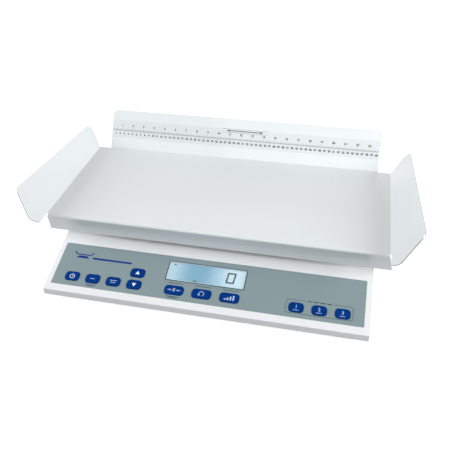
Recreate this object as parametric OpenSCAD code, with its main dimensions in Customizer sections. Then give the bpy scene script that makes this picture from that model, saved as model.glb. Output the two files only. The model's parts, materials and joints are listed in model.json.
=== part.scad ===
// Baby weighing scale: a folded sheet tray on a low base with a sloping console.
// Axes: +X to the right of the user, +Y away from the user, +Z up.
// The origin is on the table, under the middle of the whole scale.
// Inside the modules, y = 0 is the tray's front edge and frame() moves it into place.

/* [Tray] */
// Width of the tray floor between the side folds
tray_w = 660; // [560:5:760]
// Depth of the tray floor from its front edge to the rear fold
tray_d = 276; // [240:2:330]
// Thickness of the tray sheet
tray_t = 2; // [1.5:0.1:3]
// Inside radius of the folds
bend_r = 2.5; // [2:0.5:8]
// Height of the tray floor above the table
tray_z = 127; // [115:1:160]

/* [Side wings] */
// Angle of the wings above the floor
wing_angle = 50; // [35:1:75]
// Slope height of a wing at its rear corner
wing_rear_h = 52; // [40:1:70]
// Reach of the rear corner behind the floor
wing_rear_reach = 35; // [10:1:45]
// Slope height of a wing at its front corner
wing_front_h = 76; // [50:1:90]
// Reach of the front corner ahead of the floor
wing_front_reach = 3; // [0:1:20]
// Slope height of the toe, the foremost corner of a wing
wing_toe_h = 19; // [12:1:30]
// Reach of the toe ahead of the floor
wing_toe_reach = 37; // [25:1:40]
// Reach of the heel, the lowest corner of a wing, ahead of the floor
wing_heel_reach = 27; // [10:1:34]

/* [Front lip] */
// Height of the turned-down front lip
lip_h = 48; // [30:1:50]
// Lean of the lip, its lower edge further back
lip_lean = 20; // [10:1:22]
// How much wider the lip is at its lower edge, each side
lip_splay = 9; // [0:1:12]

/* [Rear panel] */
// Width of the rear panel
panel_w = 607; // [500:1:640]
// Slope height of the rear panel
panel_h = 87; // [60:1:120]
// Lean of the rear panel back from upright
panel_lean = 31.5; // [10:0.5:40]
// Radius of its top corners
panel_r = 13; // [5:1:25]
// Height of the measuring strip's middle up the panel
strip_mid = 44.5; // [35:0.5:55]
// Width of the measuring strip
strip_h = 40; // [30:1:44]
// Thickness of the measuring strip
strip_t = 0.3; // [0.2:0.1:0.5]

/* [Base housing] */
// Width of the base
base_w = 616; // [600:2:660]
// Reach of the console ahead of the tray's front edge
console_reach = 103; // [100:1:120]
// Place of the rear wall behind the tray's front edge
base_back = 262; // [256:1:300]
// Height of the base's underside above the table
base_z = 14; // [12:0.5:18]
// Height of the console's front face
console_front_h = 14; // [12:0.5:18]
// Slope of the console
console_slope = 16.9; // [14:0.1:20]
// Height of the flat deck above the table
deck_z = 77; // [74:1:80]
// Wall of the base cover
cover_t = 2.5; // [2:0.1:3]
// Thickness of the bottom pan
pan_t = 2.5; // [2.2:0.1:3.5]
// Gap between the pan and the cover walls
pan_gap = 0.3; // [0.2:0.1:1]

/* [Console] */
// Margin between the overlay and each side of the base
overlay_side = 10; // [8:1:13]
// Depth of the printed overlay along the slope
overlay_d = 95; // [92:1:100]
// Margin between the overlay and the console's front edge
overlay_margin = 14.5; // [12:0.5:16]
// Thickness of the overlay
overlay_t = 0.55; // [0.4:0.05:0.8]
// Depth of the pocket that the overlay lies in
pocket_t = 0.6; // [0.6:0.05:0.9]
// Width of the display window
window_w = 154; // [140:1:160]
// Depth of the display window
window_d = 43; // [38:1:44]
// Margin between the window and the overlay's rear edge
window_edge = 11.3; // [10:0.1:13]
// Gap round the window
window_gap = 0.2; // [0.1:0.05:0.4]

/* [Buttons] */
// Distance of the lower row's middle from the overlay's front edge
row_edge = 20.6; // [19:0.1:22]
// Clear gap between the lower row and the upper arrow button
row_gap = 5.9; // [5:0.1:8]
// Width of the left buttons
key_w = 29; // [24:0.5:31]
// Width of the middle buttons
mid_key_w = 37; // [30:0.5:40]
// Width of the right buttons
right_key_w = 27; // [24:0.5:30]
// Depth of every button
key_d = 20; // [16:0.5:24]
// Corner radius of the buttons
key_r = 7; // [4:0.5:8]
// Pitch of the left buttons
key_pitch = 42.2; // [40:0.1:44]
// Pitch of the middle buttons
mid_key_pitch = 53.3; // [50:0.1:56]
// Pitch of the right buttons
right_key_pitch = 41.4; // [40:0.1:44]
// Distance of the outermost buttons' middle from the overlay's ends
key_side = 38.5; // [36:0.5:42]
// Height of a button above the overlay
key_rise = 0.9; // [0.6:0.1:1.4]
// Travel of a button
key_travel = 0.5; // [0.3:0.05:0.6]
// Gap round a button
key_gap = 0.4; // [0.3:0.05:0.6]

/* [Weighing parts] */
// Length of the load cell
cell_l = 150; // [140:1:170]
// Width of the load cell
cell_w = 30; // [28:1:36]
// Height of the load cell
cell_h = 25; // [22:1:28]
// Place of the load cell behind the tray's front edge
cell_y = 150; // [140:1:160]
// Thickness of the steel chassis
chassis_t = 3; // [2:0.5:4]
// Height of the lower spacer
spacer_h = 5; // [4:0.5:6]
// Distance of the tray supports from the centre line
support_x = 190; // [150:1:220]
// Distance of the tray supports in front of and behind the load cell
support_y = 85; // [60:1:95]
// Thickness of the platform's hub and arms
hub_t = 8; // [6:0.5:10]
// Clear height between the deck and the platform
hub_gap = 7.5; // [5:0.5:10]
// Thickness of the rubber tray pads
pad_t = 4; // [3:0.5:6]
// Diameter of the tray's locating pins
pin_d = 8; // [6:0.5:10]
// Radial clearance of the locating pins
pin_gap = 0.35; // [0.3:0.05:0.8]

/* [Feet] */
// Distance of the feet from the sides of the base
foot_side = 20; // [18:1:28]
// Distance of the front feet from the console's front face
foot_front = 31; // [28:1:35]
// Distance of the rear feet from the rear wall
foot_rear = 30; // [26:1:60]
// Diameter of a foot pad
foot_d = 26; // [22:1:30]
// Height of a foot pad
foot_pad_h = 6; // [5:0.5:7]
// Diameter of the threaded stem
stem_d = 8; // [6:0.5:8]
// Radial clearance of the stem in its insert
stem_gap = 0.05; // [0.03:0.01:0.1]
// Wall of the threaded insert
insert_wall = 2; // [1.5:0.5:3]

/* [Battery bay] */
// Number of cells in the bay
cell_count = 6; // [4:2:6]
// Diameter of a battery
battery_d = 14.2; // [14:0.1:17]
// Length of a battery
battery_l = 50; // [48:0.5:51]
// Middle of the bay from the centre line
bay_x = 200; // [190:1:210]
// Middle of the bay behind the tray's front edge
bay_y = 168; // [150:1:180]
// Gap round the battery door
door_gap = 0.5; // [0.4:0.1:0.8]
// Diameter of the door's hinge pins
hinge_d = 1.2; // [1:0.1:1.4]

/* [Power inlet] */
// Place of the inlet beside the main board's middle line
jack_shift = 2; // [-25:1:25]
// Bore of the inlet
jack_bore = 5.6; // [5:0.1:6.5]

/* [Hidden] */
$fn = 48;
eps = 0.01;
over = 1;

// Whole scale, front to back
panel_back = tray_d + panel_h * sin(panel_lean) + tray_t * cos(panel_lean);
mid_y = (panel_back - console_reach) / 2;

// Tray
wing_corners = [13, 20, 9, 2];
heel_h = 0.5;
fold_zone = (bend_r + tray_t) * tan(wing_angle / 2);
lip_zone = (bend_r + tray_t) * tan((90 + lip_lean) / 2);
lip_back = lip_h * tan(lip_lean);
floor_back = tray_d - (bend_r + tray_t) * tan((90 - panel_lean) / 2);
floor_half = tray_w / 2 - fold_zone;
wing_step = 0.5;
tray_under = tray_z - tray_t;

// Base
front_top_z = base_z + console_front_h;
deck_y = -console_reach + (deck_z - front_top_z) / tan(console_slope);
pan_top = base_z + pan_t;
pan_front = -console_reach + cover_t + pan_gap;
pan_back = base_back - cover_t - pan_gap;
pan_half = base_w / 2 - cover_t - pan_gap;
overlay_w = base_w - 2 * overlay_side;
overlay_v = overlay_margin + overlay_d / 2;
window_v = overlay_margin + overlay_d - window_edge - window_d / 2;

// Heights above the console's surface, measured square to it
flange_gap = 0.2;
flange_t = 1.2;
board_t = 1.6;
board_top = -9;
switch_h = 2.8;
plunger_h = 0.6;
stem_bottom = board_top + switch_h + plunger_h + key_travel + 0.1;
glass_t = 2.8;
glass_size = [window_w + 2, window_d + 2];

// Screws
screw_d = 3;
screw_gap = 0.05;
screw_head_d = 6;
screw_head_h = 1.4;
boss_d = 8;
screw_len = 10;
side_screws_y = [30, 170];
front_screw_x = 180;
rear_screw_x = 100;
edge_inset = 4;
screw_places = [
    for (s = [-1, 1]) for (y = side_screws_y) [s * (pan_half - edge_inset), y],
    for (s = [-1, 1]) [s * front_screw_x, pan_front + edge_inset],
    for (s = [-1, 1]) [s * rear_screw_x, pan_back - edge_inset]
];

// Weighing parts
chassis_top = pan_top + chassis_t;
cell_z = chassis_top + spacer_h;
cell_top = cell_z + cell_h;
cell_end = 36;
hub_z = deck_z + hub_gap;
hub_top = hub_z + hub_t;
hub_size = [220, 80];
post_top = tray_under - pad_t;
post_d = 24;
post_bore = pin_d + 2 * pin_gap;
pin_len = 14;
cell_screw_d = 6;
cell_screw_head = 10;
cell_screw_pitch = 18;
cell_hole_d = cell_screw_d + 2 * screw_gap;
fixed_x = -cell_l / 2 + cell_end / 2;
free_x = -fixed_x;
spacer_d = 36;
deck_hole_d = spacer_d + 10;
support_places = [for (x = [-1, 1]) for (y = [-1, 1]) [x * support_x, cell_y + y * support_y]];

// Keypad
key_edge = overlay_w / 2 - key_side;
row_v = overlay_margin + row_edge;
arrow_v = row_v + key_d + row_gap;
board_inset = 3.5;
board_half = key_edge + 17;
board_v = [overlay_margin + board_inset, overlay_margin + overlay_d - board_inset];
key_places = [
    ["button_power", -key_edge, row_v, key_w],
    ["button_left_2", -key_edge + key_pitch, row_v, key_w],
    ["button_left_3", -key_edge + 2 * key_pitch, row_v, key_w],
    ["button_up", -key_edge + 3 * key_pitch, arrow_v, key_w],
    ["button_down", -key_edge + 3 * key_pitch, row_v, key_w],
    ["button_mid_1", -mid_key_pitch, row_v, mid_key_w],
    ["button_mid_2", 0, row_v, mid_key_w],
    ["button_mid_3", mid_key_pitch, row_v, mid_key_w],
    ["button_right_1", key_edge - 2 * right_key_pitch, row_v, right_key_w],
    ["button_right_2", key_edge - right_key_pitch, row_v, right_key_w],
    ["button_right_3", key_edge, row_v, right_key_w]
];
keypad_screw_x = [board_half - 36.5, window_w / 2 + 23];
keypad_screw_places = [for (s = [-1, 1]) for (x = keypad_screw_x) [s * x, board_v[1] - 5]];

// Main board
main_size = [126, 148];
main_side = 30;
main_mid = [-pan_half + main_side + main_size[0] / 2, pan_back - main_size[1] / 2 - 1];
jack_x = main_mid[0] + jack_shift;
main_z = pan_top + 7.5;
main_screws = [for (x = [-1, 1]) for (y = [-1, 1])
    [main_mid[0] + x * (main_size[0] / 2 - 5), main_mid[1] + y * (main_size[1] / 2 - 22)]];
jack_z = main_z + board_t + 5.5;
jack_size = [9, 14, 11];

// Battery bay
battery_pitch = battery_d + 1;
bay_w = cell_count * battery_pitch + 1;
bay_d = battery_l + 10;
bay_wall = 1.5;
bay_h = battery_d + 5;
battery_z = pan_top + battery_d / 2 + 1;
door_t = 2;
hinge_y = bay_y + bay_d / 2 - door_t / 2 - door_gap;
hinge_z = base_z + door_t / 2;
hinge_pin_len = 3;
hinge_clear = 0.06;

// Feet
foot_x = base_w / 2 - foot_side;
foot_y = [foot_front - console_reach, base_back - foot_rear];
foot_places = [[-foot_x, foot_y[0]], [foot_x, foot_y[0]], [-foot_x, foot_y[1]], [foot_x, foot_y[1]]];
insert_d = stem_d + 2 * insert_wall;
insert_top = base_z + 13;
stem_top = base_z + 12;
wheel_d = 20;
wheel_h = 3.5;
ball_d = 7;

// ---- shared shapes ----

function unit(v) = v / norm(v);

// Points of the rounded corner at b, coming from a and going to c
function corner(a, b, c, r, n = 6) =
    let (u = unit(a - b), w = unit(c - b), half = acos(max(-1, min(1, u * w))) / 2)
    r <= 0 || half > 89.9 ? [b] :
    let (
        reach = r / tan(half),
        middle = b + unit(u + w) * r / sin(half),
        from = b + u * reach - middle,
        to = b + w * reach - middle,
        a0 = atan2(from[1], from[0]),
        turn = atan2(to[1], to[0]) - a0,
        sweep = turn > 180 ? turn - 360 : turn < -180 ? turn + 360 : turn
    )
    [for (k = [0:n]) middle + r * [cos(a0 + sweep * k / n), sin(a0 + sweep * k / n)]];

// Closed outline with each corner rounded by its own radius
function rounded(p, r, n = 6) =
    let (m = len(p))
    [for (i = [0:m - 1]) each corner(p[(i + m - 1) % m], p[i], p[(i + 1) % m], r[i], n)];

// Section of a folded sheet: the path is its upper face, the sheet lies on the path's right
function sheet(p, t, r) =
    let (
        m = len(p),
        right = [for (i = [0:m - 2]) let (d = unit(p[i + 1] - p[i])) [d[1], -d[0]]],
        left_turn = [for (i = [1:m - 2]) cross(p[i] - p[i - 1], p[i + 1] - p[i]) > 0],
        under = [for (i = [0:m - 1])
            i == 0 ? p[0] + right[0] * t :
            i == m - 1 ? p[m - 1] + right[m - 2] * t :
            p[i] + (right[i - 1] + right[i]) * t / (1 + right[i - 1] * right[i])],
        inner = [for (i = [1:m - 2]) each corner(p[i - 1], p[i], p[i + 1], left_turn[i - 1] ? r : r + t)],
        outer = [for (i = [1:m - 2])
            each corner(under[i - 1], under[i], under[i + 1], left_turn[i - 1] ? r + t : r)]
    )
    concat([p[0]], inner, [p[m - 1]], [under[m - 1]],
        [for (i = [len(outer) - 1:-1:0]) outer[i]], [under[0]]);

module frame() {
    translate([0, -mid_y, 0]) children();
}

// Section drawn in y and z, extruded along x about the middle
module along_x(width) {
    rotate([90, 0, 90]) linear_extrude(height = width, center = true) children();
}

// Place on the console: across, up the slope from the front edge, and out of the surface
module console(x = 0, v = 0, h = 0) {
    translate([0, -console_reach, front_top_z])
        rotate([console_slope, 0, 0])
            translate([x, v, h]) children();
}

module block(size, z = 0) {
    translate([-size[0] / 2, -size[1] / 2, z]) cube(size);
}

module plate(w, d, r, t) {
    linear_extrude(height = t)
        polygon(rounded([[-w / 2, -d / 2], [w / 2, -d / 2], [w / 2, d / 2], [-w / 2, d / 2]], [r, r, r, r]));
}

module rod(places, d, z, h) {
    for (p = places) translate([p[0], p[1], z]) cylinder(d = d, h = h);
}

module screws(places, d, z, length, head_d, head_h, up = 1) {
    for (p = places) translate([p[0], p[1], z]) {
        mirror([0, 0, up > 0 ? 0 : 1]) {
            difference() {
                translate([0, 0, -head_h]) cylinder(d = head_d, h = head_h);
                translate([0, 0, -head_h - eps]) cylinder(d = head_d * 0.45, h = head_h * 0.55, $fn = 6);
            }
            cylinder(d = d, h = length);
        }
    }
}

// ---- tray ----

module wing_region(side) {
    foot_drop = fold_zone + over;
    deep = 2 * (bend_r + tray_t);
    front = lip_zone + 2 * wing_step;
    back = floor_back - wing_step;
    outline = rounded(
        [[back, -foot_drop], [back, 0], [tray_d + wing_rear_reach, wing_rear_h],
         [-wing_front_reach, wing_front_h], [-wing_toe_reach, wing_toe_h],
         [-wing_heel_reach, heel_h], [front, heel_h], [front, -foot_drop]],
        [0, 0, wing_corners[0], wing_corners[1], wing_corners[2], wing_corners[3], 0, 0], 10);
    mirror([side < 0 ? 1 : 0, 0, 0])
        translate([tray_w / 2, 0, tray_z])
            rotate([0, -wing_angle, 0])
                rotate([0, 0, 90]) mirror([0, 1, 0])
                    translate([0, 0, -deep]) linear_extrude(height = 2 * deep) polygon(outline);
}

module tray_floor_and_wings() {
    top_x = tray_w / 2 + 2 * wing_front_h * cos(wing_angle);
    top_z = tray_z + 2 * wing_front_h * sin(wing_angle);
    section = sheet([[-top_x, top_z], [-tray_w / 2, tray_z], [tray_w / 2, tray_z], [top_x, top_z]],
        tray_t, bend_r);
    depth = tray_d + wing_rear_reach + wing_toe_reach + 2 * over;
    intersection() {
        translate([0, depth - wing_toe_reach - over, 0]) rotate([90, 0, 0])
            linear_extrude(height = depth) polygon(section);
        union() {
            translate([-floor_half - eps, lip_zone, tray_z - 3 * tray_t])
                cube([2 * floor_half + 2 * eps, floor_back - lip_zone, 4 * tray_t]);
            wing_region(-1);
            wing_region(1);
        }
    }
}

module tray_lip() {
    section = sheet([[lip_back, tray_z - lip_h], [0, tray_z], [lip_zone + wing_step, tray_z]],
        tray_t, bend_r);
    low = tray_z - lip_h - over;
    right = [[tray_w / 2 + lip_splay, low], [tray_w / 2, tray_z - lip_zone], [floor_half, tray_z]];
    left = [for (k = [len(right) - 1:-1:0]) [-right[k][0], right[k][1]]];
    depth = lip_back + 3 * (bend_r + tray_t);
    intersection() {
        along_x(tray_w + 2 * lip_splay + 2 * over) polygon(section);
        translate([0, depth - bend_r, 0]) rotate([90, 0, 0]) linear_extrude(height = depth)
            polygon(concat(right, left));
    }
}

module tray_panel() {
    top = [tray_d + panel_h * sin(panel_lean), tray_z + panel_h * cos(panel_lean)];
    section = sheet([[tray_d - 4 * bend_r, tray_z], [tray_d, tray_z], top], tray_t, bend_r);
    half = panel_w / 2;
    low = -5 * bend_r;
    outline = [[-half, low], [half, low], [half, panel_h], [-half, panel_h]];
    intersection() {
        along_x(panel_w) polygon(section);
        translate([0, tray_d, tray_z]) rotate([90 - panel_lean, 0, 0]) translate([0, 0, low])
            linear_extrude(height = -2 * low) polygon(rounded(outline, [0, 0, panel_r, panel_r], 8));
    }
}

module tray_pan() color("whitesmoke") frame() {
    tray_floor_and_wings();
    tray_lip();
    tray_panel();
}

module measuring_strip() color("white") frame() {
    strip_w = panel_w - 4;
    glue_t = 0.002;
    translate([0, tray_d, tray_z]) rotate([90 - panel_lean, 0, 0])
        translate([0, strip_mid, 0]) block([strip_w, strip_h, strip_t], glue_t);
}

module tray_pins() color("silver") frame() {
    rod(support_places, pin_d, tray_under - pin_len, pin_len);
}

// ---- platform ----

module tray_pads() color("dimgray") frame() {
    difference() {
        rod(support_places, post_d + 4, post_top, pad_t);
        rod(support_places, post_bore, post_top - over, pad_t + 2 * over);
    }
}

module platform() color("gainsboro") frame() {
    arm_w = 22;
    difference() {
        union() {
            translate([0, cell_y, 0]) block([hub_size[0], hub_size[1], hub_t], hub_z);
            for (p = support_places) {
                run = [p[0], p[1] - cell_y];
                translate([0, cell_y, hub_z]) rotate([0, 0, atan2(run[1], run[0])])
                    translate([0, -arm_w / 2, 0]) cube([norm(run), arm_w, hub_t]);
            }
            rod(support_places, post_d, hub_z, post_top - hub_z);
        }
        rod(support_places, post_bore, tray_under - pin_len - 2, pin_len);
        rod([for (k = [-1, 1]) [free_x + k * cell_screw_pitch / 2, cell_y]], cell_hole_d,
            hub_z - over, hub_t + 2 * over);
    }
}

module cell_spacer_upper() color("silver") frame() {
    difference() {
        rod([[free_x, cell_y]], spacer_d, cell_top, hub_z - cell_top);
        rod([for (k = [-1, 1]) [free_x + k * cell_screw_pitch / 2, cell_y]], cell_hole_d,
            cell_top - over, hub_z - cell_top + 2 * over);
    }
}

module platform_screws() color("darkgray") frame() {
    screws([for (k = [-1, 1]) [free_x + k * cell_screw_pitch / 2, cell_y]],
        cell_screw_d, hub_top, hub_top - cell_z - cell_h / 3, cell_screw_head, 5, -1);
}

// ---- load cell and chassis ----

module load_cell() color("lightgray") frame() {
    slot_r = cell_h * 0.34;
    difference() {
        translate([0, cell_y, 0]) block([cell_l, cell_w, cell_h], cell_z);
        for (x = [-1, 1]) translate([x * slot_r, cell_y, cell_z + cell_h / 2]) rotate([90, 0, 0])
            cylinder(r = slot_r, h = cell_w + 2 * over, center = true);
        translate([0, cell_y, 0])
            block([2 * slot_r, cell_w + 2 * over, slot_r], cell_z + (cell_h - slot_r) / 2);
        for (s = [-1, 1]) rod([for (k = [-1, 1]) [s * free_x + k * cell_screw_pitch / 2, cell_y]],
            cell_hole_d, cell_z - over, cell_h + 2 * over);
    }
}

module cell_spacer_lower() color("silver") frame() {
    difference() {
        translate([fixed_x, cell_y, 0]) block([cell_end, cell_w, spacer_h], chassis_top);
        rod([for (k = [-1, 1]) [fixed_x + k * cell_screw_pitch / 2, cell_y]], cell_hole_d,
            chassis_top - over, spacer_h + 2 * over);
    }
}

module cell_screws() color("darkgray") frame() {
    screws([for (k = [-1, 1]) [fixed_x + k * cell_screw_pitch / 2, cell_y]],
        cell_screw_d, cell_top, cell_top - pan_top - eps, cell_screw_head, 5, -1);
}

module overload_stop() color("darkgray") frame() {
    stop_gap = 0.8;
    rod([[free_x, cell_y]], 6, pan_top, cell_z - stop_gap - pan_top);
    difference() {
        rod([[free_x, cell_y]], 11, chassis_top, 3);
        rod([[free_x, cell_y]], 6 + 2 * screw_gap, chassis_top - over, 3 + 2 * over);
    }
}

module chassis() color("slategray") frame() {
    size = [260, 150];
    flange_h = 10;
    difference() {
        union() {
            translate([0, cell_y, 0]) block([size[0], size[1], chassis_t], pan_top);
            for (s = [-1, 1]) translate([0, cell_y + s * (size[1] - chassis_t) / 2, 0])
                block([size[0], chassis_t, flange_h], pan_top);
        }
        rod([for (k = [-1, 1]) [fixed_x + k * cell_screw_pitch / 2, cell_y]], cell_hole_d,
            pan_top - over, chassis_t + 2 * over);
        rod([[free_x, cell_y]], 6 + 2 * screw_gap, pan_top - over, chassis_t + 2 * over);
        rod([for (x = [-105, 0, 105]) for (s = [-1, 1]) [x, cell_y + s * 48]], 30,
            pan_top - over, chassis_t + 2 * over);
    }
}

// ---- base housing ----

module base_outer() {
    along_x(base_w) polygon(rounded(
        [[-console_reach, base_z], [-console_reach, front_top_z], [deck_y, deck_z],
         [base_back, deck_z], [base_back, base_z]], [0, 2, 12, 4, 0]));
}

module base_inner() {
    front = -console_reach + cover_t;
    front_z = front_top_z + cover_t * tan(console_slope) - cover_t / cos(console_slope);
    along_x(base_w - 2 * cover_t) polygon(
        [[front, base_z - over], [front, front_z],
         [deck_y + cover_t * tan(console_slope / 2), deck_z - cover_t],
         [base_back - cover_t, deck_z - cover_t], [base_back - cover_t, base_z - over]]);
}

module key_holes() {
    for (k = key_places) console(k[1], k[2], -2 * cover_t)
        plate(k[3] + 2 * key_gap, key_d + 2 * key_gap, key_r + key_gap, 3 * cover_t);
}

module base_cover() color("white") frame() {
    ledge = 2;
    difference() {
        union() {
            difference() {
                base_outer();
                base_inner();
            }
            intersection() {
                base_outer();
                rod(screw_places, boss_d, pan_top, deck_z);
            }
            for (p = keypad_screw_places) console(p[0], p[1], board_top)
                cylinder(d = boss_d, h = -board_top - 1);
        }
        console(0, overlay_v, -pocket_t) plate(overlay_w, overlay_d, 2, 2 * cover_t);
        console(0, window_v, -2 * cover_t) plate(window_w - 2 * ledge, window_d - 2 * ledge, 1, 3 * cover_t);
        key_holes();
        for (p = keypad_screw_places) console(p[0], p[1], board_top - over)
            cylinder(d = 2 + 2 * screw_gap, h = 6 + over);
        rod(screw_places, screw_d + 2 * screw_gap, pan_top - over, screw_len + over);
        rod([[free_x, cell_y]], deck_hole_d, deck_z - 2 * cover_t, 3 * cover_t);
        translate([jack_x, base_back, jack_z]) rotate([90, 0, 0])
            cylinder(d = jack_bore + 2, h = 3 * cover_t, center = true);
    }
}

module base_pan() color("whitesmoke") frame() {
    difference() {
        union() {
            translate([-pan_half, pan_front, base_z]) cube([2 * pan_half, pan_back - pan_front, pan_t]);
            rod(foot_places, insert_d + 5, base_z, insert_top - base_z);
            rod(main_screws, boss_d, base_z, main_z - base_z);
        }
        rod(foot_places, insert_d, base_z - over, insert_top - base_z + 2 * over);
        rod(main_screws, 2.5 + 2 * screw_gap, base_z + pan_t, main_z);
        rod(screw_places, screw_d + 0.4, base_z - over, pan_t + 2 * over);
        rod(screw_places, screw_head_d + 0.4, base_z - over, screw_head_h + 0.1 + over);
        translate([bay_x, bay_y, 0]) block([bay_w, bay_d, pan_t + 2 * over], base_z - over);
        translate([bay_x, hinge_y, hinge_z]) rotate([0, 90, 0])
            cylinder(d = hinge_d + 2 * hinge_clear, h = bay_w + 2 * hinge_pin_len + 1, center = true);
    }
}

module cover_screws() color("silver") frame() {
    screws(screw_places, screw_d, base_z + screw_head_h + 0.1, screw_len, screw_head_d, screw_head_h);
}

// ---- console ----

module control_overlay() color("darkseagreen") frame() {
    difference() {
        console(0, overlay_v, -pocket_t) plate(overlay_w - 0.4, overlay_d - 0.4, 2, overlay_t);
        console(0, window_v, -cover_t)
            plate(window_w + 2 * window_gap, window_d + 2 * window_gap, 1.5, 2 * cover_t);
        key_holes();
    }
}

module display_window() color("lightblue", 0.4) frame() {
    console(0, window_v, -pocket_t) plate(window_w, window_d, 1.5, pocket_t);
}

module display_glass() color("lightsteelblue") frame() {
    console(0, window_v, -cover_t - glass_t) block([glass_size[0], glass_size[1], glass_t]);
}

module display_frame() color("dimgray") frame() {
    deep = -board_top - cover_t;
    gap = 0.2;
    rim = 3;
    inside = [glass_size[0] + 2 * gap, glass_size[1] + 2 * gap];
    difference() {
        console(0, window_v, board_top) block([inside[0] + 2 * rim, inside[1] + 2 * rim, deep]);
        console(0, window_v, board_top - over) block([inside[0], inside[1], deep + 2 * over]);
    }
}

module backlight() color("ivory") frame() {
    console(0, window_v, board_top)
        block([glass_size[0], glass_size[1], -board_top - cover_t - glass_t]);
}

module keypad_board() color("darkgreen") frame() {
    difference() {
        console(0, (board_v[0] + board_v[1]) / 2, board_top - board_t)
            block([2 * board_half, board_v[1] - board_v[0], board_t]);
        for (p = keypad_screw_places) console(p[0], p[1], board_top - board_t - over)
            cylinder(d = 2.4, h = board_t + 2 * over);
    }
}

module keypad_screws() color("silver") frame() {
    for (p = keypad_screw_places) console(p[0], p[1], board_top - board_t)
        screws([[0, 0]], 2, 0, 5, 4.5, 1.6);
}

module key_switches() color("dimgray") frame() {
    for (k = key_places) console(k[1], k[2], board_top) {
        block([6.2, 6.2, switch_h]);
        translate([0, 0, switch_h]) cylinder(d = 3.5, h = plunger_h);
    }
}

module button(k) {
    top_step = 0.35;
    top_inset = 0.5;
    console(k[1], k[2], 0) {
        translate([0, 0, -cover_t - flange_gap])
            plate(k[3], key_d, key_r, cover_t + flange_gap + key_rise - top_step);
        translate([0, 0, key_rise - top_step])
            plate(k[3] - 2 * top_inset, key_d - 2 * top_inset, key_r - top_inset, top_step);
        translate([0, 0, -cover_t - flange_gap - flange_t])
            plate(k[3] + 4, key_d + 4, key_r + 2, flange_t);
        translate([0, 0, stem_bottom]) cylinder(d = 5, h = -stem_bottom - cover_t - flange_gap);
    }
}

module button_node(name) color("mediumblue") frame() {
    for (k = key_places) if (k[0] == name) button(k);
}

// ---- electronics ----

module flex_tail() color("sienna") frame() {
    plug_h = 3.2;
    tail_v = board_v[1] - 4;
    under = board_top - board_t - plug_h / 2;
    start = [-console_reach + tail_v * cos(console_slope) - under * sin(console_slope),
        front_top_z + tail_v * sin(console_slope) + under * cos(console_slope)];
    end = [main_mid[1] - main_size[1] / 2 + 7, main_z + board_t + 3];
    leave = start + 12 * [cos(console_slope), sin(console_slope)];
    translate([main_mid[0], 0, 0]) along_x(26)
        polygon(sheet([start, leave, end - [14, 0], end], 0.3, 4));
    console(main_mid[0], tail_v - 3, under - plug_h / 2) block([28, 6, plug_h]);
}

module main_board() color("darkgreen") frame() {
    difference() {
        translate([main_mid[0], main_mid[1], 0]) block([main_size[0], main_size[1], board_t], main_z);
        rod(main_screws, 2.8, main_z - over, board_t + 2 * over);
    }
}

module board_parts() color("dimgray") frame() {
    top = main_z + board_t;
    translate([main_mid[0], main_mid[1] - main_size[1] / 2 + 10, 0]) block([30, 6, 5], top);
    translate([main_mid[0], main_mid[1], 0]) block([22, 22, 2], top);
    translate([main_mid[0] + 45, main_mid[1] + 6, 0]) block([8, 14, 6], top);
    translate([main_mid[0] + 45, main_mid[1] + 40, 0]) block([8, 14, 6], top);
    rod([[main_mid[0] - 35, main_mid[1] - 20]], 14, top, 8);
    rod([for (k = [0:2]) [main_mid[0] - 45 + 14 * k, main_mid[1] + 25]], 8, top, 11);
}

module board_screws() color("silver") frame() {
    screws(main_screws, 2.5, main_z + board_t, 6, 5, 1.6, -1);
}

module cell_cable() color("gray") frame() {
    width = 6;
    start = [-cell_l / 2, cell_z + cell_h / 2];
    plug = [main_mid[0] + 49, main_z + board_t + 3];
    turn_x = (start[0] + plug[0]) / 2;
    translate([0, cell_y + width / 2, 0]) rotate([90, 0, 0]) linear_extrude(height = width)
        polygon(sheet([start, [turn_x + 4, start[1]], [turn_x - 4, plug[1]], plug], 1.2, 3));
}

module battery_leads() color("firebrick") frame() {
    from = main_mid[0] + 49;
    to = bay_x - bay_w / 2 - bay_wall;
    y = main_mid[1] + 40;
    for (k = [-1, 1]) translate([from, y + 2.5 * k, main_z + board_t + 3])
        rotate([0, 90, 0]) cylinder(d = 1.8, h = to - from, $fn = 24);
}

// ---- battery bay ----

module battery_box() color("whitesmoke") frame() {
    size = [bay_w + 2 * bay_wall, bay_d + 2 * bay_wall];
    difference() {
        translate([bay_x, bay_y, 0]) block([size[0], size[1], bay_h + bay_wall], pan_top);
        translate([bay_x, bay_y, 0]) block([bay_w, bay_d, bay_h + over], pan_top - over);
    }
}

module each_battery() {
    for (i = [0:cell_count - 1])
        translate([bay_x + (i - (cell_count - 1) / 2) * battery_pitch, bay_y, battery_z])
            mirror([0, i % 2, 0]) rotate([-90, 0, 0]) children();
}

module batteries() color("goldenrod") frame() {
    each_battery() {
        translate([0, 0, -battery_l / 2]) cylinder(d = battery_d, h = battery_l - 1);
        translate([0, 0, battery_l / 2 - 1]) cylinder(d = 5.5, h = 1);
    }
}

module battery_contacts() color("silver") frame() {
    tab = 0.5;
    reach = (bay_d - battery_l) / 2;
    each_battery() {
        translate([0, 0, battery_l / 2 + reach - tab]) block([10, 10, tab]);
        translate([0, 0, battery_l / 2]) cylinder(d = 4, h = reach - tab);
        translate([0, 0, -battery_l / 2 - reach]) block([10, 10, tab]);
        translate([0, 0, -battery_l / 2 - reach + tab]) cylinder(d1 = 9, d2 = 5, h = reach - tab);
    }
}

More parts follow.
